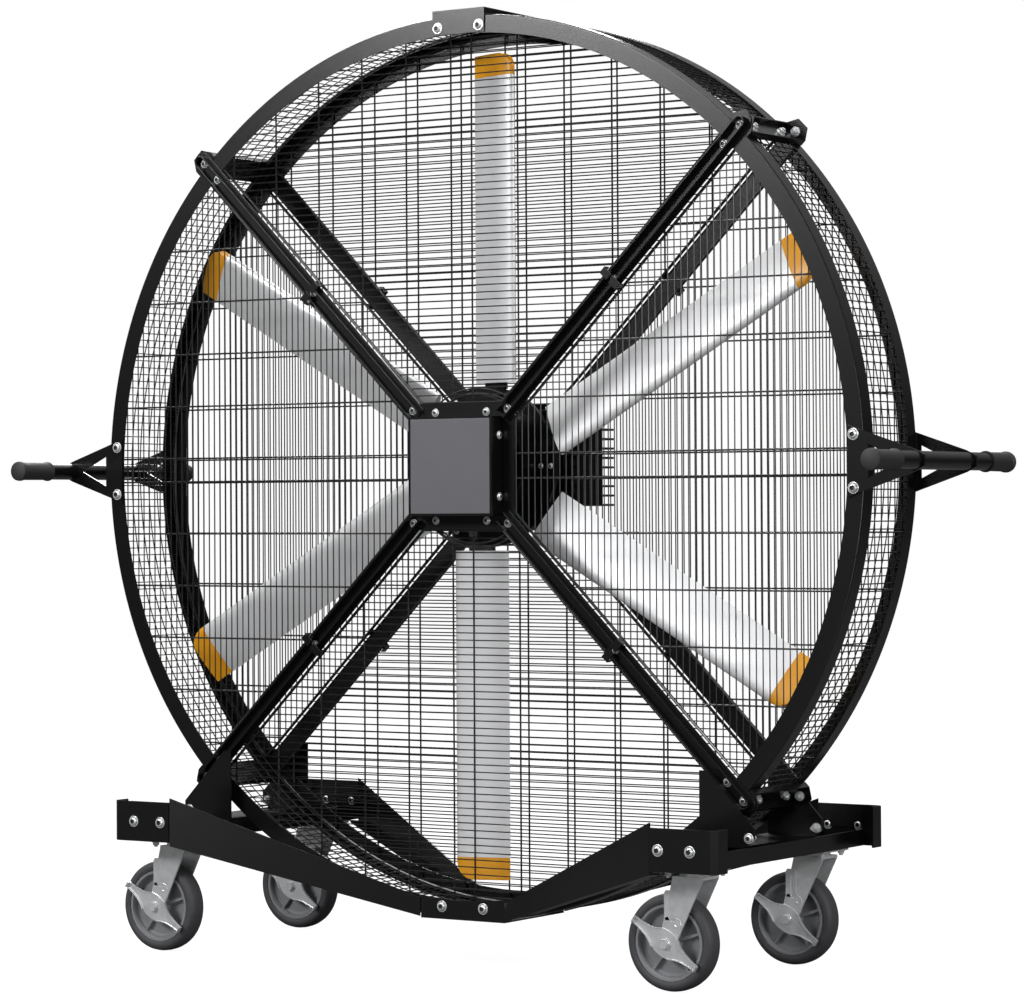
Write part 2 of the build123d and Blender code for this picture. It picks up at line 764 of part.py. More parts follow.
def caster_rim(x, y):
    """Rim: hub, web and the band under the tyre."""
    centre = (x - caster_trail, wheel_radius)

    def rear_face(width):
        return Plane.XZ.offset(-y - width / 2)

    with BuildPart() as rim:
        with BuildSketch(rear_face(rim_web)):
            with Locations(centre):
                RegularPolygon(rim_radius, rim_sides, major_radius=False)
        extrude(amount=rim_web)
        with BuildSketch(rear_face(rim_width)):
            with Locations(centre):
                RegularPolygon(rim_radius, rim_sides, major_radius=False)
                RegularPolygon(rim_radius - rim_band, rim_sides, major_radius=False, mode=Mode.SUBTRACT)
        extrude(amount=rim_width)
        with BuildSketch(rear_face(wheel_hub_length)):
            with Locations(centre):
                RegularPolygon(wheel_hub_radius, rim_sides // 2, major_radius=False)
        extrude(amount=wheel_hub_length)
        with BuildSketch(rear_face(wheel_hub_length)):
            with Locations(centre):
                Circle(axle_radius + running_gap)
        extrude(amount=wheel_hub_length, mode=Mode.SUBTRACT)
    return rim.part


def caster_tyre(x, y):
    """Tyre moulded round the rim."""
    with BuildPart() as tyre:
        with BuildSketch(Plane.XZ.offset(-y - tyre_width / 2)):
            with Locations((x - caster_trail, wheel_radius)):
                Circle(wheel_radius)
                RegularPolygon(rim_radius + tyre_gap, rim_sides, major_radius=False, mode=Mode.SUBTRACT)
        extrude(amount=tyre_width)
    return tyre.part


def brake_lever(x, y):
    """Diamond-shaped brake lever that rocks on the axle, on the wheel's front side."""
    face = turned_face(brake_tilt, (x - caster_trail, y - leg_outer - brake_gap, wheel_radius))
    with BuildPart() as lever:
        with BuildSketch(face):
            with BuildLine():
                Polyline(
                    (-brake_half_length, -brake_tip_half),
                    (0, -brake_half_width),
                    (brake_half_length, -brake_tip_half),
                    (brake_half_length, brake_tip_half),
                    (0, brake_half_width),
                    (-brake_half_length, brake_tip_half),
                    close=True,
                )
            make_face()
            Circle(axle_radius + running_gap, mode=Mode.SUBTRACT)
        extrude(amount=brake_plate)
    return lever.part


plates = []
for end, y in {"front": -caster_y, "rear": caster_y}.items():
    for hand, x in {"left": -caster_x, "right": caster_x}.items():
        name = f"caster_{end}_{hand}"
        plates.append(caster_plate(x, y))
        save(caster_fork(x, y), f"{name}_fork")
        save(caster_rim(x, y), f"{name}_rim")
        save(caster_tyre(x, y), f"{name}_tyre")
        save(brake_lever(x, y), f"{name}_brake_lever")
save(Compound(plates), "caster_plates")
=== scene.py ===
"""Large wheeled drum fan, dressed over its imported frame.

Metres, +Z up, the front faces -Y. The drum's rotor axis runs along Y at height HUB.
"""

from math import atan2, cos, pi, radians, sin, sqrt

import bmesh
import bpy
from mathutils import Matrix, Vector


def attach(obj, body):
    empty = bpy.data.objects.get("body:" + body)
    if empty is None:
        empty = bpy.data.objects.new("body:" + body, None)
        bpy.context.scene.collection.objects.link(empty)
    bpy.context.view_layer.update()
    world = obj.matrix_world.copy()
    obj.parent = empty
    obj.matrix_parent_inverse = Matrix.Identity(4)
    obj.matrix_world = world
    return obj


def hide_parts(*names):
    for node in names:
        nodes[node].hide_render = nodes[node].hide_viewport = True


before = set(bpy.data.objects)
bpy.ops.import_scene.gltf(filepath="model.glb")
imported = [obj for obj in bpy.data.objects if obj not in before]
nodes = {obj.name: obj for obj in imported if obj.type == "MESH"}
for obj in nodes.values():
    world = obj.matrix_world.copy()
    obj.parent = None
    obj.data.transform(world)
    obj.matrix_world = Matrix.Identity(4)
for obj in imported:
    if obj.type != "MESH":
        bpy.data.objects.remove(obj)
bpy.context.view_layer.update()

# ---------------------------------------------------------------------------
# Rings: 3 mm steel angle rolled round the drum, 40 mm face and 40 mm rim, its
# ends meeting under the strap at the bottom, powder coated satin black.
HUB = 1.090
RING_RADIUS = 0.9906
RING_FACE = 0.040
RING_RIM = 0.040
RING_DEPTH = 0.118  # ring's face in front of the drum's middle
RING_SEAM = 0.0015
STEEL = 0.003


def linear(hex_colour):
    """An sRGB hex colour as linear RGBA."""
    parts = [int(hex_colour[i:i + 2], 16) / 255 for i in (1, 3, 5)]
    return [p / 12.92 if p <= 0.04045 else ((p + 0.055) / 1.055) ** 2.4 for p in parts] + [1.0]


def add_node(tree, kind, inputs=None, **settings):
    """Add one node; inputs maps a socket's name or number to a value or to another node's output."""
    node = tree.nodes.new(kind)
    for name, value in settings.items():
        setattr(node, name, value)
    for key, value in (inputs or {}).items():
        if isinstance(value, bpy.types.NodeSocket):
            tree.links.new(value, node.inputs[key])
        else:
            node.inputs[key].default_value = value
    return node


def new_material(name, **sockets):
    """A material with one Principled shader; returns the material, its tree, shader and object coordinates."""
    material = bpy.data.materials.new(name)
    material.use_nodes = True
    tree = material.node_tree
    shader = tree.nodes["Principled BSDF"]
    for socket, value in sockets.items():
        shader.inputs[socket.replace("_", " ")].default_value = value
    place = add_node(tree, "ShaderNodeTexCoord").outputs["Object"]
    return material, tree, shader, place


def powder_coat(name, dark, light, rough):
    """Baked polyester powder: an even satin skin with a fine orange peel of about 1.5 mm."""
    material, tree, shader, place = new_material(name, Roughness=rough)
    broad = add_node(tree, "ShaderNodeTexNoise", {"Vector": place, "Scale": 6.0, "Detail": 3.0})
    tone = add_node(tree, "ShaderNodeMix", {"Factor": broad.outputs["Fac"], "A": linear(dark), "B": linear(light)},
                    data_type="RGBA")
    tree.links.new(tone.outputs["Result"], shader.inputs["Base Color"])
    peel = add_node(tree, "ShaderNodeTexNoise", {"Vector": place, "Scale": 650.0, "Detail": 2.0})
    bump = add_node(tree, "ShaderNodeBump", {"Height": peel.outputs["Fac"], "Strength": 0.12, "Distance": 0.0002})
    tree.links.new(bump.outputs["Normal"], shader.inputs["Normal"])
    return material


# Near black, with a soft broad sheen where a lamp lies across it and white glints along the edges.
black_coat = powder_coat("powder_coated_steel_black", "#070708", "#0c0c0d", 0.24)


def ease_edges(piece, width, segments=2, angle=35, harden=True):
    """Round the edges that turn by more than an angle, so that they catch the light."""
    edge = piece.modifiers.new("edge", "BEVEL")
    edge.width = width
    edge.segments = segments
    edge.limit_method = "ANGLE"
    edge.angle_limit = radians(angle)
    edge.harden_normals = harden


def finish_piece(name, bm, material, body="frame", replaced=(), bevel=0.0, smooth=35):
    """Turn a bmesh into a named piece that rides on a body and stands for its CAD nodes."""
    bmesh.ops.remove_doubles(bm, verts=bm.verts, dist=0.000001)
    bmesh.ops.recalc_face_normals(bm, faces=bm.faces)
    for face in bm.faces:
        face.smooth = True
    mesh = bpy.data.meshes.new(name)
    bm.to_mesh(mesh)
    bm.free()
    for entry in material if isinstance(material, list) else [material]:
        mesh.materials.append(entry)
    piece = bpy.data.objects.new(name, mesh)
    bpy.context.scene.collection.objects.link(piece)
    mesh.set_sharp_from_angle(angle=radians(smooth))
    if bevel:
        ease_edges(piece, bevel, angle=30)
    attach(piece, body)
    if replaced:
        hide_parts(*replaced)
    return piece


def spin_profile(bm, profile, centre, steps, closed=True, arc=2 * pi, start=0.0):
    """Spin a profile of (radius, y) points about an axis along Y through centre (x, z)."""
    whole = abs(arc - 2 * pi) < 1e-6
    rows = []
    for step in range(steps if whole else steps + 1):
        turn = start + arc * step / steps
        rows.append([bm.verts.new((centre[0] + r * cos(turn), y, centre[1] + r * sin(turn))) for r, y in profile])
    count = len(profile)
    for step in range(len(rows) if whole else len(rows) - 1):
        here, there = rows[step], rows[(step + 1) % len(rows)]
        for i in range(count if closed else count - 1):
            bm.faces.new((here[i], there[i], there[(i + 1) % count], here[(i + 1) % count]))
    if not whole:
        for row in (rows[0], rows[-1]):
            bm.faces.new(row)


def ring_profile(side):
    """Section of the angle, its corner rounded where it is rolled; side is -1 for the front ring."""
    face = side * RING_DEPTH
    rim = side * (RING_DEPTH - RING_RIM)
    inward = side * STEEL
    corner, middle, flat = 0.0025, 0.0007, 0.0032
    return [
        (RING_RADIUS - RING_FACE, face), (RING_RADIUS - flat, face), (RING_RADIUS - corner, face),
        (RING_RADIUS - middle, face - side * middle), (RING_RADIUS, face - side * corner),
        (RING_RADIUS, face - side * flat), (RING_RADIUS, rim), (RING_RADIUS - STEEL, rim),
        (RING_RADIUS - STEEL, face - inward), (RING_RADIUS - RING_FACE, face - inward),
    ]


for side, name in ((-1, "front_ring"), (1, "rear_ring")):
    bm = bmesh.new()
    gap = RING_SEAM / 2 / RING_RADIUS
    spin_profile(bm, ring_profile(side), (0, HUB), 320, arc=2 * pi - 2 * gap, start=-pi / 2 + gap)
    ring = finish_piece(name + "_rolled", bm, black_coat, replaced=[name])

# ---------------------------------------------------------------------------
# Drum mesh: welded wire cloth wrapped round inside the rings' rims. Lengthwise
# wires every 16.5 mm lie on hoops every 31 mm, all 2.8 mm, coated black.
WIRE = 0.0028
MESH_RADIUS = 0.9858
MESH_HALF = 0.1145
LENGTHWISE_PITCH = 0.0165
HOOP_PITCH = 0.031
HOOPS = 8

# As black as the plates but a little duller, so that the wires read as thin dark lines.
wire_coat = powder_coat("powder_coated_wire_black", "#070708", "#0c0c0d", 0.30)


def straight_wire(bm, start, end, width, sides=6):
    """A straight round wire between two points."""
    start, end = Vector(start), Vector(end)
    along = (end - start).normalized()
    across = along.orthogonal().normalized()
    up = along.cross(across)
    turns = [2 * pi * i / sides for i in range(sides)]
    rows = [[bm.verts.new(point + width / 2 * (across * cos(a) + up * sin(a))) for a in turns]
            for point in (start, end)]
    for i in range(sides):
        j = (i + 1) % sides
        bm.faces.new((rows[0][i], rows[0][j], rows[1][j], rows[1][i]))
    bm.faces.new(rows[0])
    bm.faces.new(reversed(rows[1]))


def round_profile(radius, y, width, sides=6):
    """Section of a hoop of round wire."""
    return [(radius + width / 2 * cos(2 * pi * i / sides), y + width / 2 * sin(2 * pi * i / sides))
            for i in range(sides)]


def bent_rod(bm, points, normal, width, sides=8):
    """A closed loop of round rod through points that lie in a plane with this normal."""
    rows = []
    count = len(points)
    turns = [2 * pi * k / sides for k in range(sides)]
    for i, point in enumerate(points):
        ahead = (points[(i + 1) % count] - point).normalized()
        behind = (point - points[i - 1]).normalized()
        side = (ahead + behind).cross(normal).normalized()
        side *= min(1 / max((ahead + behind).length / 2, 0.3), 1.6)
        rows.append([bm.verts.new(point + width / 2 * (side * cos(a) + normal * sin(a))) for a in turns])
    for i in range(count):
        here, there = rows[i], rows[(i + 1) % count]
        for k in range(sides):
            bm.faces.new((here[k], there[k], there[(k + 1) % sides], here[(k + 1) % sides]))


bm = bmesh.new()
wire_count = round(2 * pi * MESH_RADIUS / LENGTHWISE_PITCH)
for step in range(wire_count):
    turn = 2 * pi * (step + 0.5) / wire_count
    x, z = MESH_RADIUS * cos(turn), HUB + MESH_RADIUS * sin(turn)
    straight_wire(bm, (x, -MESH_HALF, z), (x, MESH_HALF, z), WIRE)
for hoop in range(HOOPS):
    y = (hoop - (HOOPS - 1) / 2) * HOOP_PITCH
    spin_profile(bm, round_profile(MESH_RADIUS - WIRE, y, WIRE), (0, HUB), 240)
finish_piece("drum_wire_cloth", bm, wire_coat, replaced=["drum_mesh"])

# ---------------------------------------------------------------------------
# Guard panels: four welded quadrants on each face. Each has a bent rod round
# its edge, 2.8 mm wires every 16 mm across it, and 4 mm braces along it.
GUARD_OUT = 0.9783
GUARD_IN = 0.125
GUARD_PITCH = 0.016
EDGE_ROD = 0.007
BRACE = 0.004
BRACE_START = 0.027
BRACE_PITCH = 0.120
BRACES = 6
DIAGONAL_GAP = 0.0248 * sqrt(2)  # from the spoke's middle to the edge rod, measured along a wire
WIRE_DEPTH = 0.1136
BRACE_DEPTH = 0.1102
ROD_DEPTH = 0.1120


def guard_wires(bm, turn, side):
    """One quadrant, turned about the rotor axis; side is -1 on the front face."""
    spin = Matrix.Translation((0, 0, HUB)) @ Matrix.Rotation(-radians(turn), 4, "Y")

    def wire(x0, z0, x1, z1, depth, width, sides=6):
        start, end = (spin @ Vector((x, side * depth, z)) for x, z in ((x0, z0), (x1, z1)))
        straight_wire(bm, start, end, width, sides)

    height = GUARD_IN + GUARD_PITCH
    while height < GUARD_OUT - 0.008:
        half = min(height - DIAGONAL_GAP, sqrt(GUARD_OUT ** 2 - height ** 2)) - 0.001
        wire(-half, height, half, height, WIRE_DEPTH, WIRE)
        height += GUARD_PITCH
    for step in range(BRACES):
        reach = BRACE_START + BRACE_PITCH * step
        low = max(GUARD_IN, reach + DIAGONAL_GAP)
        high = sqrt(GUARD_OUT ** 2 - reach ** 2) - 0.003
        if high > low:
            for x in (-reach, reach):
                wire(x, low, x, high, BRACE_DEPTH, BRACE, 8)
    corner = (DIAGONAL_GAP + sqrt(2 * GUARD_OUT ** 2 - DIAGONAL_GAP ** 2)) / 2
    inner = GUARD_IN - DIAGONAL_GAP
    edge = [(-inner, GUARD_IN), (-(corner - DIAGONAL_GAP), corner)]
    reach = atan2(corner - DIAGONAL_GAP, corner)
    edge += [(GUARD_OUT * sin(a), GUARD_OUT * cos(a)) for a in (reach * (i / 24 - 1) for i in range(1, 48))]
    edge += [(corner - DIAGONAL_GAP, corner), (inner, GUARD_IN)]
    bent_rod(bm, [spin @ Vector((x, side * ROD_DEPTH, z)) for x, z in edge], Vector((0, 1, 0)), EDGE_ROD)


for side, face in ((-1, "front"), (1, "rear")):
    for turn, place in ((0, "top"), (90, "left"), (180, "bottom"), (270, "right")):
        bm = bmesh.new()
        guard_wires(bm, turn, side)
        finish_piece(f"{face}_guard_wires_{place}", bm, wire_coat, replaced=[f"{face}_guard_{place}"])

# ---------------------------------------------------------------------------
# Spokes: a flat steel bar laid on the ring's face with a 3 mm rib standing along it
# on each side and round its outer end. A bolted clip holds the guards' rods.
SPOKE_WIDTH = 0.042
SPOKE_DEPTH = 0.018
RIB_SPREAD = 0.0270
SPOKE_START = 0.1576
SPOKE_END = 1.003
SPOKE_NOSE = 0.024
CLIP_RADIUS = 0.560
CLIP_HALF = 0.009
CLIP_SPREAD = 0.0275
CLIP_STEEL = 0.002


def flat_plate(bm, place, outline, low, high):
    """A flat plate with a local (x, y) outline between two local heights."""
    rows = [[bm.verts.new(place @ Vector((x, y, z))) for x, y in outline] for z in (low, high)]
    count = len(outline)
    for i in range(count):
        j = (i + 1) % count
        bm.faces.new((rows[0][i], rows[0][j], rows[1][j], rows[1][i]))
    bm.faces.new(rows[0])
    bm.faces.new(reversed(rows[1]))


def face_place(turn, side, depth):
    """Local x outwards at a turn from +X, local z out of the drum's front (side -1) or rear (side 1) face."""
    outward = Vector((cos(radians(turn)), 0, sin(radians(turn))))
    normal = Vector((0, side, 0))
    place = Matrix((outward, normal.cross(outward), normal)).transposed().to_4x4()
    place.translation = Vector((0, side * depth, HUB))
    return place


for side, face in ((-1, "front"), (1, "rear")):
    bm = bmesh.new()
    for turn in (45, 135, 225, 315):
        place = face_place(turn, side, RING_DEPTH)
        half, rib = SPOKE_WIDTH / 2, RIB_SPREAD / 2
        within = rib - STEEL
        bends = [pi * i / 16 for i in range(17)]
        bar = [(SPOKE_END + SPOKE_NOSE * sin(a), half * cos(a)) for a in bends]
        flat_plate(bm, place, bar + [(SPOKE_START, -half), (SPOKE_START, half)], 0, STEEL)
        outer = [(SPOKE_END + rib * sin(a), rib * cos(a)) for a in bends]
        inner = [(SPOKE_END + within * sin(a), within * cos(a)) for a in reversed(bends)]
        low_end = [(SPOKE_START, -rib), (SPOKE_START, -within)]
        high_end = [(SPOKE_START, within), (SPOKE_START, rib)]
        flat_plate(bm, place, outer + low_end + inner + high_end, STEEL, SPOKE_DEPTH)
        seat = place @ Matrix.Translation((CLIP_RADIUS, 0, 0))
        for hand in (-1, 1):
            edges = (rib - 0.010, CLIP_SPREAD - CLIP_STEEL)
            levels = ((SPOKE_DEPTH, SPOKE_DEPTH + CLIP_STEEL), (0.001, SPOKE_DEPTH))
            for near, (low, high) in zip(edges, levels):
                strip = [(-CLIP_HALF, hand * near), (CLIP_HALF, hand * near),
                         (CLIP_HALF, hand * CLIP_SPREAD), (-CLIP_HALF, hand * CLIP_SPREAD)]
                flat_plate(bm, seat, strip, low, high)
    finish_piece(f"{face}_spoke_bars", bm, black_coat, replaced=[f"{face}_spokes"], bevel=0.0006)

# ---------------------------------------------------------------------------
# Plates and beams: laser-cut and folded sheet steel, kept as the frame has them,
# with their cut edges eased and the same black powder coat.
def recoat(name, material):
    """Give a CAD node another material."""
    node = nodes[name]
    node.data.materials.clear()
    node.data.materials.append(material)
    return node


for name in ("rear_hub_frame", "front_hub_frame", "top_strap", "bottom_strap", "corner_ties", "handle_plates",
             "base_corners", "base_beams", "side_channels", "saddles", "handle_tubes", "motor_housing",
             "drive_housing", "rotor_hub"):
    ease_edges(recoat(name, black_coat), 0.0010)

# ---------------------------------------------------------------------------
# Blades: extruded aluminium sections, satin anodised, pitched 13 degrees and
# pushed over the rotor's tongues; moulded orange caps close their ends.
CHORD = 0.126
PITCH = radians(13)
ROTOR_PLANE = 0.006
BLADE_ROOT = 0.186
BLADE_LENGTH = 0.680
BLADE_OFFSET = 0.019  # the chord's middle beside the radial line
BLADES = 6
CROWN = 0.03952  # four times the height over the chord, which is greatest a quarter of the way back
BELLY = 0.04108
CAP_LENGTH = 0.050
CAP_EDGE = 0.004  # the cap's height at the leading edge
CAP_CORNER = 0.042


def mottled_material(name, dark, light, scale, detail=2.0, **sockets):
    """A material whose colour drifts softly between two near tones; scale is in cycles per metre."""
    material, tree, shader, place = new_material(name, **sockets)
    cloud = add_node(tree, "ShaderNodeTexNoise", {"Vector": place, "Scale": scale, "Detail": detail})
    tone = add_node(tree, "ShaderNodeMix", {"Factor": cloud.outputs["Fac"], "A": linear(dark), "B": linear(light)},
                    data_type="RGBA")
    tree.links.new(tone.outputs["Result"], shader.inputs["Base Color"])
    return material


# Satin anodising: pale silver with wide soft highlights along the section and a fine grain.
anodised = mottled_material("anodised_aluminium_satin", "#dfe0e2", "#f0f0f1", 900.0, Metallic=0.35, Roughness=0.42)
# Moulded plastic: a strong warm orange with a gentle gloss at the rounded corner.
abs_orange = mottled_material("moulded_abs_orange", "#dd9410", "#eba51e", 20.0, Roughness=0.34)


def airfoil(steps=14):
    """The blade's section as (chordwise, thickness) points: round nose at +x, thin tail."""
    def height(x, crown):
        share = 0.5 - x / CHORD
        return crown * (sqrt(max(share, 0)) - share)
    stations = [CHORD * (0.5 - (i / steps) ** 1.7) for i in range(steps + 1)]
    points = [(x, height(x, CROWN)) for x in stations]
    return points + [(x, -height(x, BELLY)) for x in reversed(stations[1:-1])]


def blade_place(index, radius):
    """Local x towards the leading edge, local z outwards."""
    turn = 2 * pi * index / BLADES
    right, up, front = Vector((cos(turn), 0, sin(turn))), Vector((-sin(turn), 0, cos(turn))), Vector((0, -1, 0))
    across = right * cos(PITCH) + front * sin(PITCH)
    thick = up.cross(across)
    place = Matrix((across, thick, up)).transposed().to_4x4()
    place.translation = right * BLADE_OFFSET + up * radius + front * ROTOR_PLANE + Vector((0, 0, HUB))
    return place


def extruded(bm, place, section, low, high, shear=None):
    """A section drawn out along local z; shear gives the far end's height at each chordwise place."""
    near = [bm.verts.new(place @ Vector((x, y, low))) for x, y in section]
    far = [bm.verts.new(place @ Vector((x, y, shear(x) if shear else high))) for x, y in section]
    for i in range(len(section)):
        j = (i + 1) % len(section)
        bm.faces.new((near[i], near[j], far[j], far[i]))
    bm.faces.new(reversed(near))
    bm.faces.new(far)


def tip_end(x):
    """Height of the cap's end: square at the tail, swept off in a curve at the leading edge."""
    from_nose = CHORD / 2 - x
    share = min(max(from_nose / CAP_CORNER, 0.0), 1.0)
    return CAP_EDGE + (CAP_LENGTH - CAP_EDGE) * sqrt(1 - (1 - share) ** 2)


for index in range(BLADES):
    bm = bmesh.new()
    extruded(bm, blade_place(index, BLADE_ROOT), airfoil(), 0, BLADE_LENGTH)
    blade = finish_piece(f"blade_{index + 1}_extrusion", bm, anodised, "rotor", [f"blade_{index + 1}"], smooth=40)
bm = bmesh.new()
for index in range(BLADES):
    extruded(bm, blade_place(index, BLADE_ROOT + BLADE_LENGTH), airfoil(24), 0, CAP_LENGTH, tip_end)
caps = finish_piece("blade_tip_caps", bm, abs_orange, "rotor", ["blade_tips"], bevel=0.0012, smooth=40)

# ---------------------------------------------------------------------------
# Hub cover: a moulded square box, its face painted grey inside a black edge.
COVER_DEPTH = 0.162
COVER_FACE_HALF = 0.1035

# Smooth mid-grey paint: an even tone that lifts the face from the black around it.
cover_grey = mottled_material("painted_abs_grey", "#5a5a5e", "#626266", 9.0, Roughness=0.32)
ease_edges(recoat("front_cover", black_coat), 0.004, segments=4, angle=30, harden=False)
bm = bmesh.new()
corners = [(x * COVER_FACE_HALF, y * COVER_FACE_HALF) for x, y in ((-1, -1), (1, -1), (1, 1), (-1, 1))]
flat_plate(bm, face_place(0, -1, COVER_DEPTH), corners, -0.0005, 0.0014)
finish_piece("hub_cover_face", bm, cover_grey, bevel=0.0012)

# ---------------------------------------------------------------------------
# Grips: rubber sleeves with a flared collar and a flat end, pushed on the tube.
TUBE_X = 1.104

# Dull black rubber: dark grey beside the glossier coat, with hardly any highlight.
rubber_black = mottled_material("moulded_rubber_black", "#1a1a1a", "#262626", 300.0, Roughness=0.6)
bm = bmesh.new()
for x in (-TUBE_X, TUBE_X):
    for side in (-1, 1):
        outer = [(0.0, 0.317), (0.019, 0.317), (0.0218, 0.3155), (0.0225, 0.312), (0.0225, 0.306), (0.0205, 0.304),
                 (0.0200, 0.222), (0.0215, 0.217), (0.0225, 0.212), (0.0225, 0.2095), (0.0, 0.2095)]
        spin_profile(bm, [(r, side * y) for r, y in outer], (x, HUB), 32, closed=False)
finish_piece("handle_grip_sleeves", bm, rubber_black, replaced=["handle_grips"])

# ---------------------------------------------------------------------------
# Cable: the motor's thin rubber cable, coiled in loose loops behind the hub plate
# so that only their tops and bottoms show past it.
CABLE = 0.0042
CABLE_DEPTH = 0.092

bm = bmesh.new()
for radius, x, z in ((0.163, 0.022, -0.006), (0.169, 0.030, -0.009), (0.175, 0.027, -0.004)):
    loop = round_profile(radius, -CABLE_DEPTH - x / 10, CABLE, 8)
    for start in (45, 225):
        spin_profile(bm, loop, (x, HUB + z), 40, arc=pi / 2, start=radians(start))
finish_piece("motor_cable_loops", bm, rubber_black)

# ---------------------------------------------------------------------------
# Casters: pressed and zinc-plated steel forks, polypropylene rims with five ribs
# and thermoplastic rubber tyres; a rocking brake lever on each wheel's front side.
# Bright zinc: a pale, slightly cloudy silver with clear glints on its folds.
zinc = mottled_material("zinc_plated_steel", "#c6c8ca", "#f4f5f6", 60.0, 4.0, Metallic=0.55, Roughness=0.27)
# Moulded plastic rim: a flat mid grey, lighter than the tyre.
rim_grey = mottled_material("moulded_polypropylene_grey", "#77787b", "#858689", 40.0, Roughness=0.5)
# Soft rubber tyre: a dull dark grey without highlights.
tyre_grey = mottled_material("moulded_rubber_grey", "#38383b", "#424245", 80.0, 3.0, Roughness=0.62)

WHEEL = 0.1016
CASTER_X = 0.669
CASTER_Y = 0.260
TRAIL = 0.052
RIBS = 5
LEG_FACE = 0.034  # outer face of the fork's leg, from the wheel's middle
LINK_STEEL = 0.0009
LEVER_STEEL = 0.0025
LEVER_TILT = radians(-33)
PLATE_BASE = 0.250

